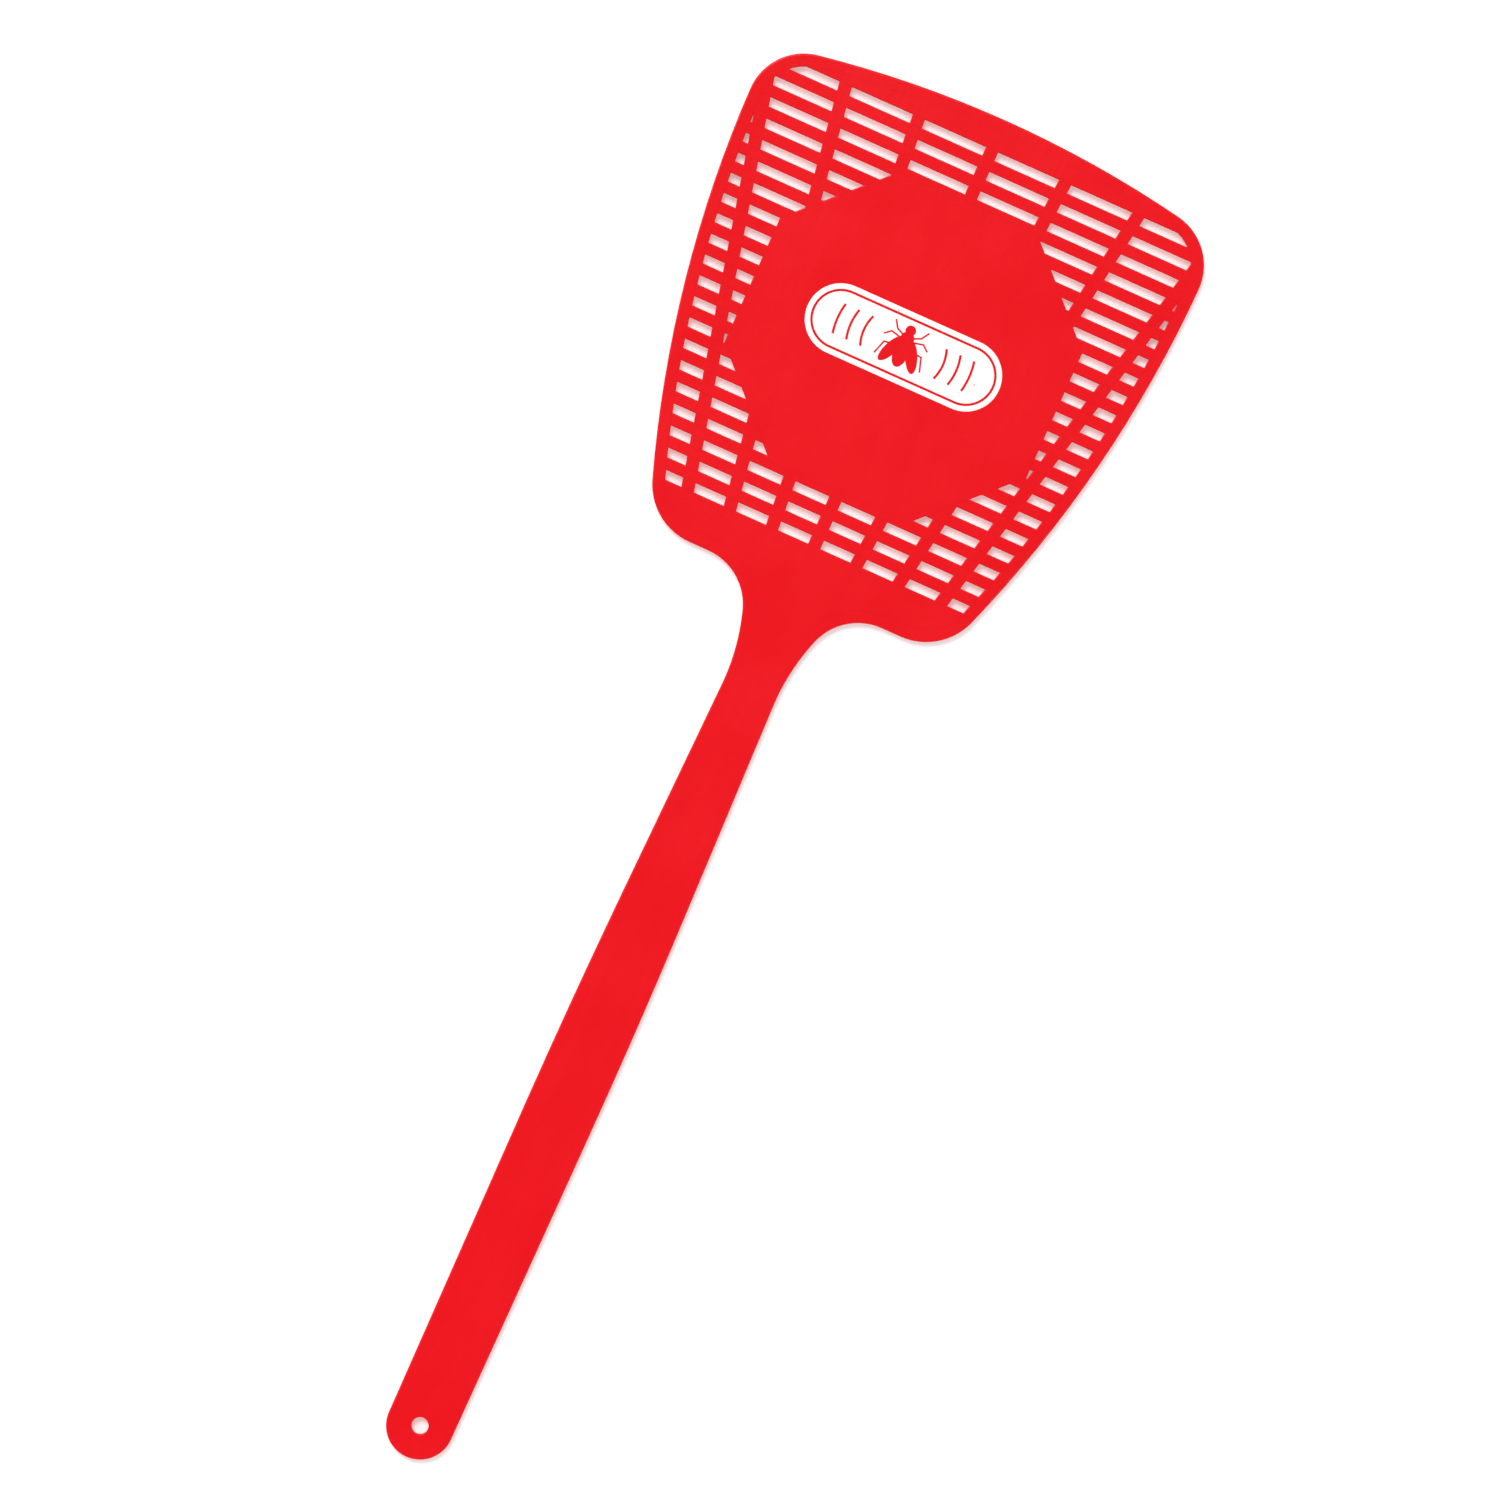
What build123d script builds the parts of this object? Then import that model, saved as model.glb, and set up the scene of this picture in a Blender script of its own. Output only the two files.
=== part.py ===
"""A one-piece moulded fly swatter: a long flat handle that thins at a neck and flares into a slotted blade.

Frame: the swatter lies on its back with the printed face up. The origin is on the axis of the hanging
hole, in the plane the back rests on. +Y runs from the hole to the blade, +X across it, +Z out of the
printed face. Every member is flush with the front face, and differs only in how far it reaches back.
Millimetres throughout.
"""

from math import asin, atan, degrees
import os

from build123d import *

# ---- silhouette -------------------------------------------------------------------------------------
HOLE_RADIUS = 2.35          # hanging hole, for a nail or a display hook
END_RADIUS = 9.46           # round end of the handle, concentric with the hole
GRIP_POINT = (10.18, 124.2) # half-width and height where the widening grip meets the tapering shaft
GRIP_BLEND = 2300           # the long curve that eases the one into the other
NECK_POINT = (7.80, 221.8)  # half-width and height where the straight taper ends
NECK_RADIUS = 61.7          # first, gentle part of the curve out to the blade
NECK_TURN = 20              # degrees turned on that part
FLARE_RADIUS = 16.2         # second, tight part, which ends level
SIDE_RADIUS = 339.4         # long bowed side of the blade
SIDE_CENTRE_Y = 379.3
BLADE_WIDTH = 136.3
TOP_RADIUS = 315            # crowned top of the blade
TOP_Y = 396.55
LOWER_CORNER = 17.5
UPPER_CORNER = 16.2
EDGE = 3.6                  # width of the bead that follows the whole silhouette

# ---- lengthwise limits of the members ---------------------------------------------------------------
END_TOP = 14.0
GRIP_TOP = 120.0
SHAFT_TOP = 206.0
NECK_TOP = 242.0
CHANNEL = (18.0, 199.0)     # hollow in the back of the grip and shaft

# ---- slots, ribs and panel --------------------------------------------------------------------------
ROWS = 21                   # slot rows
FIRST_ROW = 268.35          # height of the lowest row's middle
PITCH = 5.896
SLOT = 2.5                  # slot height
RIBS = 7
FAN_Y = 102.7               # the point on the axis that every rib points away from
FAN_STEP = 0.078            # sideways run of each rib per millimetre of height, from one to the next
RIB_WIDTH = 3.75
PANEL_Y = 327.5
PANEL_WIDTH = 91.8          # across the flats
PANEL_SIDES = 8

# ---- depths, measured up from the plane that the back rests on --------------------------------------
FRONT = 3.0
CHANNEL_FLOOR = 1.2         # back of the web in the handle
NECK_HOLLOW = 0.8           # how far the back of the neck is hollowed, so that it bends there
WEB_BACK = 1.2              # back of the shoulder web and of the panel
RIB_BACK = 0.6
SLAT_BACK = 1.6
OUTER_ROUND = 0.5           # rounding of the silhouette's edges
INNER_ROUND = 0.3           # rounding of every edge around a slot
LAP = 1.0                   # how far a member is drawn into its neighbour before the neighbour is cut away
FAR = 500                   # longer than any member
TOUCH = 0.01                # things closer together than this touch

# ---- marks that the mould's ejector pins leave on the back ------------------------------------------
PIN_RADIUS = 2.5
PIN_MARK = 0.12             # how far a mark stands out of the back
GRIP_PINS = [(0, 32), (0, 68), (0, 104)]
SHAFT_PINS = [(0, 140), (0, 180)]
WEB_PINS = [(-22, 259), (22, 259)]
PANEL_PIN_SPREAD = 28       # sideways and up from the middle of the panel

# ---- printed badge ----------------------------------------------------------------------------------
BADGE = (58.0, 20.0)
INK = 0.05                  # thickness of the ink
RING = 0.7                  # width of the unprinted line inside the badge's edge
RING_INSET = 1.5
BUZZ_HEIGHT = 9.0
BUZZ_RADII = (12, 16, 20)
FLY_BODY = [                # height, half-width and half-length of the head, thorax and abdomen
    (5.0, 1.5, 1.5),
    (2.4, 2.0, 2.3),
    (-2.0, 2.1, 3.8),
]
WING_MIDDLE = (3.1, -1.6)
WING = (1.7, 4.7)           # half-width and half-length
WING_TURN = 24              # degrees out from the body
LEGS = [                    # hip, knee and foot on the right-hand side
    [(1.0, 3.0), (3.6, 4.2), (5.0, 6.4)],
    [(1.0, 2.0), (4.8, 2.9), (6.6, 1.4)],
    [(1.0, 0.0), (5.6, -0.6), (6.9, -4.6)],
]
LEG_WIDTH = 0.5


def band(low, high):
    """The flat region between two heights."""
    return Pos(0, (low + high) / 2) * Rectangle(FAR, high - low)


def block(low, high, bottom=0.0, top=FRONT):
    """Everything between two heights and two depths."""
    return Pos(0, 0, bottom) * extrude(band(low, high), top - bottom)


def near(shapes, height, slack=0.6):
    """Those vertices or edges whose middle is at a height."""
    return [s for s in shapes if abs(s.center().Y - height) < slack]


def level_edges(solid, *depths):
    """A solid's edges that lie in the level planes at some depths."""
    return [e for e in solid.edges() if any(abs((e @ 0.5).Z - d) < TOUCH for d in depths)]


def lies_on(boundary, point):
    """True where a point is straight above a flat boundary."""
    return boundary.distance_to(Vertex(point.X, point.Y, 0)) < TOUCH


# ---- outline ----------------------------------------------------------------------------------------
def stem(inset):
    """Handle, neck and flare, up to the level lower edge of the blade. Returns the face and that height."""
    bottom, bend, top = (
        (x - inset, y) for x, y in ((END_RADIUS, 0), GRIP_POINT, NECK_POINT)
    )
    grip = Line(bottom, bend)
    shaft = Line(bend, top)
    neck = JernArc(shaft @ 1, shaft % 1, NECK_RADIUS + inset, -NECK_TURN)
    rising = degrees(atan((neck % 1).Y / (neck % 1).X))
    flare = JernArc(neck @ 1, neck % 1, FLARE_RADIUS + inset, -rising)
    shoulder = flare @ 1
    side = Curve() + [grip, shaft, neck, flare]
    across = [
        Line(shoulder, (-shoulder.X, shoulder.Y)),
        Line((-bottom[0], 0), bottom),
    ]
    face = make_face([*side.edges(), *mirror(side, about=Plane.YZ).edges(), *across])
    face = fillet(near(face.vertices(), GRIP_POINT[1]), GRIP_BLEND)
    return face + Circle(bottom[0]), shoulder.Y


def head(lower_edge, inset):
    """The blade: two bowed sides and a crowned top on a level lower edge, with rounded corners."""
    side_x = BLADE_WIDTH / 2 - SIDE_RADIUS
    blade = Pos(0, TOP_Y - TOP_RADIUS) * Circle(TOP_RADIUS - inset)
    blade &= band(lower_edge, TOP_Y + LAP)
    for sign in (-1, 1):
        blade &= Pos(sign * side_x, SIDE_CENTRE_Y) * Circle(SIDE_RADIUS - inset)
    low = near(blade.vertices(), lower_edge)
    blade = fillet(low, LOWER_CORNER - inset)
    high = sorted(blade.vertices(), key=lambda v: v.Y)[-2:]
    return fillet(high, UPPER_CORNER - inset)


def silhouette(inset=0.0):
    """The whole outline seen from the front, or the same outline drawn in all round by an inset."""
    handle, lower_edge = stem(inset)
    return (handle + head(lower_edge, inset)).clean()


# ---- blanks that the members are cut from -----------------------------------------------------------
def rounded_blank(outline):
    """The silhouette at full depth, with its front and back edges rounded."""
    blank = extrude(outline, FRONT)
    return fillet(level_edges(blank, 0, FRONT), OUTER_ROUND)


def column(face):
    """A flat region drawn right through the swatter's depth, and a little past it both ways."""
    return Pos(0, 0, -LAP) * extrude(face, FRONT + 2 * LAP)


def member(start, along, width, back):
    """A long bar from a point on the front, level with it, with its four long edges rounded."""
    across = Vector(0, 0, 1).cross(along)
    plane = Plane(origin=start, x_dir=across, z_dir=along)
    middle = (back + FRONT) / 2
    bar = extrude(plane * Pos(0, middle) * Rectangle(width, FRONT - back), FAR)
    long_edges = [e for e in bar.edges() if e.length > FAR / 2]
    return fillet(long_edges, INNER_ROUND)


def cross_bar(low, high, back):
    """A bar across the whole blade between two heights."""
    return member((-FAR / 2, (low + high) / 2, 0), Vector(1, 0, 0), high - low, back)


def fan_bar(step):
    """A bar that runs up the blade from the fan's point, that many steps right of the middle."""
    return member((0, FAN_Y, 0), Vector(step * FAN_STEP, 1, 0).normalized(), RIB_WIDTH, RIB_BACK)


def pin_marks(points, back):
    """Low round marks on the back of a member, sunk into it by a lap."""
    mark = Cylinder(PIN_RADIUS, PIN_MARK + LAP, align=(Align.CENTER, Align.CENTER, Align.MIN))
    return Part() + [Pos(x, y, back - PIN_MARK) * mark for x, y in points]


# ---- handle -----------------------------------------------------------------------------------------
def handle_end(blank):
    """The solid round end, with the hanging hole. The hole's mouth is rounded on the front only."""
    end = (blank & block(-FAR, END_TOP)) - extrude(Circle(HOLE_RADIUS), FRONT)
    circles = end.edges().filter_by(GeomType.CIRCLE)
    mouth = [e for e in circles if e.radius == HOLE_RADIUS and e.center().Z > FRONT / 2]
    return fillet(mouth, INNER_ROUND)


def channel(inside):
    """The hollow in the back of the grip and shaft, with rounded ends."""
    floor = inside & band(*CHANNEL)
    for end in CHANNEL:
        floor = fillet(near(floor.vertices(), end), EDGE)
    return extrude(floor, CHANNEL_FLOOR)


def hollow_length(blank, low, high, hollow, pins):
    """A length of the handle with the channel in its back, and marks on the channel's floor."""
    return (blank & block(low, high)) - hollow + pin_marks(pins, CHANNEL_FLOOR)


def neck(blank):
    """The neck, hollowed across its back by a shallow arc so that it bends there."""
    middle = (SHAFT_TOP + NECK_TOP) / 2
    side = Plane(origin=(-FAR / 2, 0, 0), x_dir=(0, 1, 0), z_dir=(1, 0, 0))
    arc = ThreePointArc((SHAFT_TOP, 0), (middle, NECK_HOLLOW), (NECK_TOP, 0))
    hollow = make_face([arc, Line(arc @ 0, arc @ 1)])
    return (blank & block(SHAFT_TOP, NECK_TOP)) - extrude(side * hollow, FAR)


# ---- blade ------------------------------------------------------------------------------------------
def row_height(row):
    """Height of the middle of a slot row, counted from 0 at the bottom."""
    return FIRST_ROW + row * PITCH


def blade_rim(blank, inside):
    """The bead all round the blade, at full depth, with its inner edges rounded."""
    bead = blank - column(inside)
    boundary = inside.wire()
    inner = [e for e in level_edges(bead, 0, FRONT) if lies_on(boundary, e @ 0.5)]
    return fillet(inner, INNER_ROUND) & block(NECK_TOP, FAR)


def shoulder_web(within):
    """The solid web between the neck and the lowest row of slots, before the rim is cut from it."""
    top = row_height(0) - SLOT / 2
    web = cross_bar(NECK_TOP - EDGE, top, WEB_BACK) & block(NECK_TOP, top)
    return (web & within) + pin_marks(WEB_PINS, WEB_BACK)


def panel_outline():
    """An octagon. Its level edges stop half way up the slats that run along them."""
    half_corner = 180 / PANEL_SIDES
    octagon = RegularPolygon(PANEL_WIDTH / 2, PANEL_SIDES, major_radius=False, rotation=half_corner)
    height = PANEL_WIDTH - (PITCH - SLOT)
    return Pos(0, PANEL_Y) * (octagon & Rectangle(FAR, height))


def centre_panel(flat):
    panel = Pos(0, 0, WEB_BACK) * extrude(flat, FRONT - WEB_BACK)
    panel = fillet(level_edges(panel, WEB_BACK, FRONT), INNER_ROUND)
    corners = GridLocations(2 * PANEL_PIN_SPREAD, 2 * PANEL_PIN_SPREAD, 2, 2)
    pins = [(p.position.X, p.position.Y + PANEL_Y) for p in corners]
    return panel + pin_marks(pins, WEB_BACK)


def cut_back(shape, neighbours):
    """What is left of a shape where its neighbours have been taken out of it, one after another."""
    for neighbour in neighbours:
        shape -= neighbour
    return shape


def cross_slats(within, neighbours):
    """The slat above each row of slots, from the bottom up, where its neighbours leave room for it."""
    slats = {}
    for row in range(ROWS):
        top = TOP_Y if row == ROWS - 1 else row_height(row + 1) - SLOT / 2
        bar = cross_bar(row_height(row) + SLOT / 2, top, SLAT_BACK) & within
        slats[f"cross_slat_{row + 1:02}"] = cut_back(bar, neighbours)
    return slats


def fan_ribs(within, neighbours):
    """The ribs that fan out from the neck, left to right. They run behind the shoulder and the slats,
    and come up between the slats to the front."""
    ribs = {}
    for number in range(RIBS):
        bar = fan_bar(number - RIBS // 2) & within & block(NECK_TOP, FAR)
        ribs[f"fan_rib_{number + 1}"] = cut_back(bar, neighbours)
    return ribs


# ---- printed badge ----------------------------------------------------------------------------------
def house_fly():
    """A fly seen from above, with its head up, 13 mm long."""
    fly = Sketch() + [Pos(0, y) * Ellipse(width, length) for y, width, length in FLY_BODY]
    wing_x, wing_y = WING_MIDDLE
    for side in (-1, 1):
        fly += Pos(side * wing_x, wing_y) * Rot(0, 0, side * WING_TURN) * Ellipse(*WING)
        for leg in LEGS:
            fly += trace(Polyline(*[(side * x, y) for x, y in leg]), LEG_WIDTH)
    return fly


def buzz_lines():
    """Three arcs on each side of the fly, all of one height."""
    lines = Sketch()
    for radius in BUZZ_RADII:
        half_angle = degrees(asin(BUZZ_HEIGHT / 2 / radius))
        for middle in (0, 180):
            arc = CenterArc((0, 0), radius, middle - half_angle, 2 * half_angle)
            lines += trace(arc, RING)
    return lines


def printed_badge():
    """White ink on the panel: a long oval with a line inside its edge, a fly and its buzz left bare."""
    length, height = BADGE
    oval = SlotOverall(length, height)
    outer = SlotOverall(length - 2 * RING_INSET, height - 2 * RING_INSET)
    inner = SlotOverall(length - 2 * (RING_INSET + RING), height - 2 * (RING_INSET + RING))
    print_area = oval - (outer - inner) - house_fly() - buzz_lines()
    return Pos(0, PANEL_Y, FRONT) * extrude(print_area, INK)


# ---- the whole swatter ------------------------------------------------------------------------------
def build():
    outline = silhouette()
    inside = silhouette(EDGE)
    within = column(silhouette(EDGE - LAP))
    blank = rounded_blank(outline)
    hollow = channel(inside)
    rim = blade_rim(blank, inside)
    web = shoulder_web(within) - rim
    octagon = panel_outline()
    panel = centre_panel(octagon)
    slats = cross_slats(within, [rim, panel])
    behind_panel = extrude(octagon, WEB_BACK)
    ribs = fan_ribs(within, [rim, web, panel, behind_panel, *slats.values()])
    return {
        "handle_end": handle_end(blank),
        "handle_grip": hollow_length(blank, END_TOP, GRIP_TOP, hollow, GRIP_PINS),
        "handle_shaft": hollow_length(blank, GRIP_TOP, SHAFT_TOP, hollow, SHAFT_PINS),
        "neck": neck(blank),
        "shoulder_web": web,
        "blade_rim": rim,
        "centre_panel": panel,
        **slats,
        **ribs,
        "printed_badge": printed_badge(),
    }


os.makedirs("parts", exist_ok=True)
for name, shape in build().items():
    export_step(shape, f"parts/{name}.step")
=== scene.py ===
"""The looks of a one-piece moulded fly swatter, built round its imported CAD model.

Most members of the moulding are the CAD nodes themselves, with a better material. The shaft and the neck
are finer copies of their nodes, because they bend. Metres, in the CAD model's frame: +Y runs from the
hanging hole to the blade, +Z out of the printed face.
"""

from math import cos, radians, sin

import bmesh
import bpy
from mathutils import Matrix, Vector


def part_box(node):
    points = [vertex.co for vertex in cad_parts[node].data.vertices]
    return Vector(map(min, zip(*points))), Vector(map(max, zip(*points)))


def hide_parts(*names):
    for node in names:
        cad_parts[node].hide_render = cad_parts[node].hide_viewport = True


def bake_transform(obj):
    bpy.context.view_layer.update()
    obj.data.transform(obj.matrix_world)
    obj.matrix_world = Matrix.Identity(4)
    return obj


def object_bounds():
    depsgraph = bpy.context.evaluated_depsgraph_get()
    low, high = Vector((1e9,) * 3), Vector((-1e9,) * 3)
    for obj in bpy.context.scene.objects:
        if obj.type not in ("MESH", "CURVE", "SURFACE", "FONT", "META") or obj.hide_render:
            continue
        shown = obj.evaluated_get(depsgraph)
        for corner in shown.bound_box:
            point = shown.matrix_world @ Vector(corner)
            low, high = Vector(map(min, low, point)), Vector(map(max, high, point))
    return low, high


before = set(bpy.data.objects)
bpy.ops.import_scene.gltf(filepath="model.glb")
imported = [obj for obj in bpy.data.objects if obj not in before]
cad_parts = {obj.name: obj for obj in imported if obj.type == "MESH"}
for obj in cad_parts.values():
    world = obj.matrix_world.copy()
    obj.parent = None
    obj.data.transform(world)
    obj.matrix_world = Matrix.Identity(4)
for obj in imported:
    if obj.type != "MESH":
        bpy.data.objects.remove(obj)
cad_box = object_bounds()
LOW, HIGH = cad_box
MIDDLE = (LOW + HIGH) / 2
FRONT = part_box("centre_panel")[1].z

# ---- framing and light ------------------------------------------------------------------------------
AIM = MIDDLE + Vector((0.00685, 0.01475, 0))  # the point that the middle of the picture shows
PICTURE_WIDTH = 0.4157                      # of the plane of the printed face
PICTURE_TURN = radians(24.15)               # the swatter leans to the right by this much
LENS = 250                                  # long, as in a catalogue shot, mm
SENSOR = 36
CLIP_END = 100                              # far enough for the whole floor in a low view

KEY_FROM = Vector((-0.704, 0.715))          # the side that the key light comes from
KEY_ELEVATION = radians(60)
KEY_SIZE = radians(26)                      # wide, for soft shadows
KEY_POWER = 1.60
DOME_POWER = 1.10
DOME = [                                    # sine of the elevation, and share of the dome's power there
    (-1.0, 0.75),                           # below the floor, where it only lights the back
    (0.06, 0.95),                           # a pale backdrop at the horizon
    (0.12, 0.12),
    (0.20, 0.12),
    (0.70, 1.00),
    (0.78, 1.00),
    (0.95, 0.10),                           # overhead, where the flat face would mirror it to the camera
]
FLOOR_GLOW = 0.30                           # light of the card's own, which keeps it white
FLOOR_RADIUS = 30.0
FLOOR_SIDES = 96

# ---- colours ----------------------------------------------------------------------------------------
# Each pair runs from the darker end of a material's own pattern to the paler one.
REDS = (0.800, 0.0022, 0.0074, 1), (0.822, 0.0034, 0.0092, 1)
INKS = (0.955, 0.935, 0.935, 1), (0.985, 0.98, 0.975, 1)
CARDS = (0.84, 0.93, 0.93, 1), (0.86, 0.95, 0.95, 1)
RED_IN_PINHOLES = (0.80, 0.06, 0.07, 1)     # the plastic, seen through a hole in the ink

# ---- bending ----------------------------------------------------------------------------------------
RING_STEP = 0.0015                          # length of mesh between cross cuts
SAME_PLACE = 1e-7                           # points closer together than this are one
SHARP_EDGE = radians(40)


# ---- node helpers -----------------------------------------------------------------------------------
def plug(tree, socket, value):
    """Feed an input from another node's output, or set it to a plain value."""
    if isinstance(value, bpy.types.NodeSocket):
        tree.links.new(value, socket)
    else:
        socket.default_value = value


def fill(tree, node, **values):
    """Each value goes to the node's input of that name, or else to its own property."""
    for key, value in values.items():
        name = key.replace("_", " ")
        if name in node.inputs:
            plug(tree, node.inputs[name], value)
        else:
            setattr(node, key, value)


def add(tree, kind, **values):
    node = tree.nodes.new("ShaderNode" + kind)
    fill(tree, node, **values)
    return node


def new_material(name):
    material = bpy.data.materials.new(name)
    material.use_nodes = True
    return material, material.node_tree, material.node_tree.nodes["Principled BSDF"]


def stretched(tree, scale, turn=0.0):
    """The rest position, stretched and turned, so that a pattern on it runs one way."""
    place = add(tree, "TexCoord")
    mapping = add(tree, "Mapping", Vector=place.outputs["Object"], Scale=scale, Rotation=(0, 0, turn))
    return mapping.outputs["Vector"]


def noise(tree, vector, scale, detail=2.0, roughness=0.5, distortion=0.0):
    node = add(
        tree, "TexNoise", Vector=vector, Scale=scale, Detail=detail,
        Roughness=roughness, Distortion=distortion,
    )
    return node.outputs["Fac"]


def between(tree, value, low, high, out_low=0.0, out_high=1.0):
    """The value mapped from one range to another, and held inside it."""
    node = add(
        tree, "MapRange", Value=value, From_Min=low, From_Max=high, To_Min=out_low, To_Max=out_high
    )
    return node.outputs["Result"]


def maths(tree, operation, a, b=0.0):
    node = add(tree, "Math", operation=operation)
    for socket, value in zip(node.inputs, (a, b)):
        plug(tree, socket, value)
    return node.outputs[0]


def mix_colour(tree, amount, a, b):
    """From colour a to colour b. The Mix node keeps its colour sockets at 6, 7 and, for the result, 2."""
    node = add(tree, "Mix", data_type="RGBA")
    for place, value in ((0, amount), (6, a), (7, b)):
        plug(tree, node.inputs[place], value)
    return node.outputs[2]


def bump(tree, height, distance, strength=1.0, under=None):
    """A normal with this height on it, on top of the bump under it, if there is one."""
    node = add(tree, "Bump", Height=height, Distance=distance, Strength=strength)
    if under is not None:
        plug(tree, node.inputs["Normal"], under)
    return node.outputs["Normal"]


# ---- materials --------------------------------------------------------------------------------------
def moulded_plastic():
    """Red polypropylene: satin, with flow marks along the part, a fine mould grain and faint rubs."""
    material, tree, shader = new_material("moulded_red_plastic")
    plain = stretched(tree, (1, 1, 1))
    along = stretched(tree, (6, 1, 6))
    flow = noise(tree, along, 24, detail=3, distortion=0.6)
    clouds = noise(tree, plain, 35, detail=2)
    grain = noise(tree, plain, 1600, detail=2, roughness=0.6)
    peel = noise(tree, plain, 200, detail=1)
    tone = maths(tree, "MULTIPLY", flow, clouds)
    streak = noise(tree, stretched(tree, (40, 1, 40), 0.5), 60, detail=1)
    scuffs = maths(tree, "MULTIPLY", between(tree, streak, 0.62, 0.80), between(tree, clouds, 0.4, 0.7))
    satin = between(tree, clouds, 0.3, 0.7, 0.285, 0.315)  # under 0.28 the denoiser draws rings on it
    fill(
        tree, shader,
        Base_Color=mix_colour(tree, between(tree, tone, 0.16, 0.36), *REDS),
        Roughness=maths(tree, "ADD", satin, maths(tree, "MULTIPLY", scuffs, 0.12)),
        Normal=bump(tree, grain, 0.00005, 0.50, bump(tree, peel, 0.00008, 0.45)),
        IOR=1.49,
        Specular_IOR_Level=0.25,
        Subsurface_Weight=0.08,
        Subsurface_Radius=(1.0, 0.12, 0.10),
        Subsurface_Scale=0.0008,
    )
    return material


def white_ink():
    """Screen-printed white ink: matt, a little uneven, with a few pinholes."""
    material, tree, shader = new_material("white_ink")
    plain = stretched(tree, (1, 1, 1))
    body = noise(tree, plain, 420, detail=3)
    holes = add(tree, "TexVoronoi", Vector=plain, Scale=420.0)
    pick = between(tree, noise(tree, plain, 160, detail=1), 0.62, 0.66)
    pinholes = maths(tree, "MULTIPLY", between(tree, holes.outputs["Distance"], 0.16, 0.10), pick)
    white = mix_colour(tree, between(tree, body, 0.3, 0.75), *INKS)
    fill(
        tree, shader,
        Base_Color=mix_colour(tree, maths(tree, "MULTIPLY", pinholes, 0.6), white, RED_IN_PINHOLES),
        Roughness=between(tree, body, 0.3, 0.7, 0.5, 0.62),
        Normal=bump(tree, pinholes, -0.00003, 0.5, bump(tree, body, 0.00002, 0.4)),
        IOR=1.5,
    )
    return material


def pale_floor():
    """Smooth card, a little cool, so that the red that bounces off the swatter doesn't tint it."""
    material, tree, shader = new_material("pale_card")
    fibres = noise(tree, stretched(tree, (1, 1, 1)), 900, detail=3)
    fill(
        tree, shader,
        Base_Color=mix_colour(tree, between(tree, fibres, 0.3, 0.7), *CARDS),
        Roughness=0.9,
        Specular_IOR_Level=0.1,
        Emission_Color=(1, 1, 1, 1),
        Emission_Strength=FLOOR_GLOW,
    )
    return material


# ---- pieces -----------------------------------------------------------------------------------------
def new_object(name, data):
    thing = bpy.data.objects.new(name, data)
    bpy.context.scene.collection.objects.link(thing)
    return thing


def set_material(piece, material):
    for slot in piece.material_slots:
        slot.link = "OBJECT"
        slot.material = material


def bending_piece(node, material):
    """A copy of a CAD node with a cross cut every RING_STEP, which takes the node's place."""
    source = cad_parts[node]
    low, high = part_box(node)
    mesh = bpy.data.meshes.new(node + "_flexing")
    form = bmesh.new()
    form.from_mesh(source.data)
    bmesh.ops.remove_doubles(form, verts=form.verts, dist=SAME_PLACE)
    cuts = int((high.y - low.y) / RING_STEP)
    for cut in range(1, cuts):
        bmesh.ops.bisect_plane(
            form, geom=[*form.verts, *form.edges, *form.faces], dist=SAME_PLACE,
            plane_co=(0, low.y + (high.y - low.y) * cut / cuts, 0), plane_no=(0, 1, 0),
        )
    form.to_mesh(mesh)
    form.free()
    if "custom_normal" in mesh.attributes:  # the CAD mesh's normals, which don't fit the cut one
        mesh.attributes.remove(mesh.attributes["custom_normal"])
    mesh.shade_smooth()
    mesh.set_sharp_from_angle(angle=SHARP_EDGE)
    mesh.materials.append(material)
    piece = new_object(node + "_flexing", mesh)
    normals = piece.modifiers.new("flat faces stay flat", "WEIGHTED_NORMAL")
    normals.keep_sharp = True
    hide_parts(node)
    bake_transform(piece)


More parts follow.
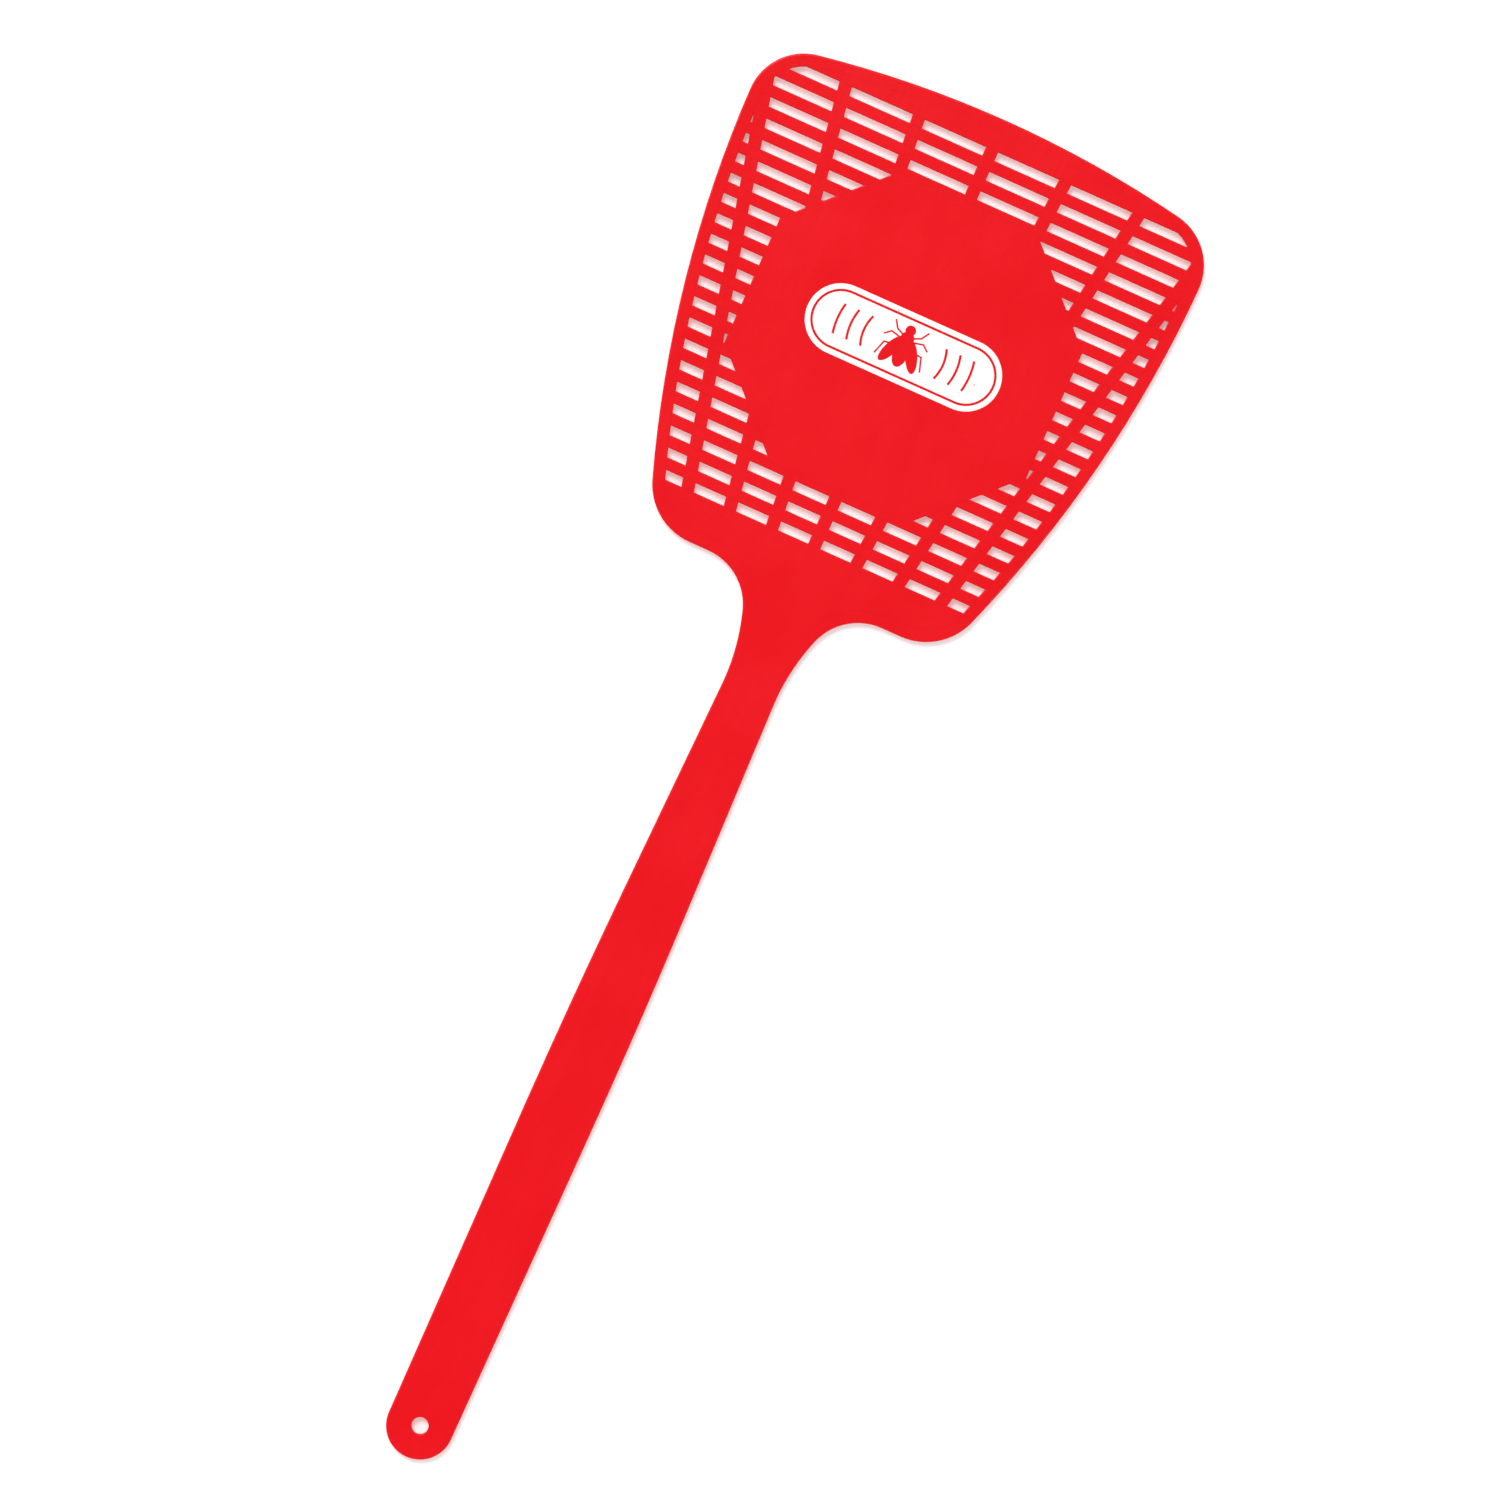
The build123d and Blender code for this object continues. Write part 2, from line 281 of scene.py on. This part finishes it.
# ---- stage ------------------------------------------------------------------------------------------
def make_floor():
    mesh = bpy.data.meshes.new("floor")
    form = bmesh.new()
    bmesh.ops.create_circle(form, cap_ends=True, segments=FLOOR_SIDES, radius=FLOOR_RADIUS)
    form.to_mesh(mesh)
    form.free()
    mesh.materials.append(pale_floor())
    floor = new_object("floor", mesh)
    floor.location = (MIDDLE.x, MIDDLE.y, LOW.z)


def make_camera():
    data = bpy.data.cameras.new("camera")
    data.lens = LENS
    data.sensor_width = SENSOR
    data.clip_end = CLIP_END
    camera = new_object("camera", data)
    camera.location = (AIM.x, AIM.y, FRONT + PICTURE_WIDTH * LENS / SENSOR)
    camera.rotation_euler = (0, 0, PICTURE_TURN)
    bpy.context.scene.camera = camera


def make_key():
    data = bpy.data.lights.new("key", "SUN")
    data.energy = KEY_POWER
    data.angle = KEY_SIZE
    key = new_object("key", data)
    side = KEY_FROM.normalized() * cos(KEY_ELEVATION)
    towards = Vector((side.x, side.y, sin(KEY_ELEVATION)))
    key.rotation_mode = "QUATERNION"
    key.rotation_quaternion = towards.to_track_quat("Z", "Y")


def make_dome():
    """A pale studio all round, darker where the flat face would mirror it."""
    world = bpy.data.worlds.new("studio")
    world.use_nodes = True
    tree = world.node_tree
    place = add(tree, "TexCoord")
    parts = add(tree, "SeparateXYZ", Vector=place.outputs["Generated"])
    ramp = add(tree, "ValToRGB", Fac=between(tree, parts.outputs["Z"], -1, 1))
    stops = ramp.color_ramp.elements
    while len(stops) < len(DOME):
        stops.new(1.0)
    for stop, (height, share) in zip(stops, DOME):
        stop.position = (height + 1) / 2
        stop.color = (share, share, share, 1)
    fill(tree, tree.nodes["Background"], Color=ramp.outputs["Color"], Strength=DOME_POWER)
    bpy.context.scene.world = world


plastic = moulded_plastic()
ink = white_ink()
for name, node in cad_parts.items():
    set_material(node, ink if name == "printed_badge" else plastic)
bending_piece("handle_shaft", plastic)
bending_piece("neck", plastic)

make_floor()
make_camera()
make_key()
make_dome()
bpy.context.scene.view_settings.view_transform = "Standard"
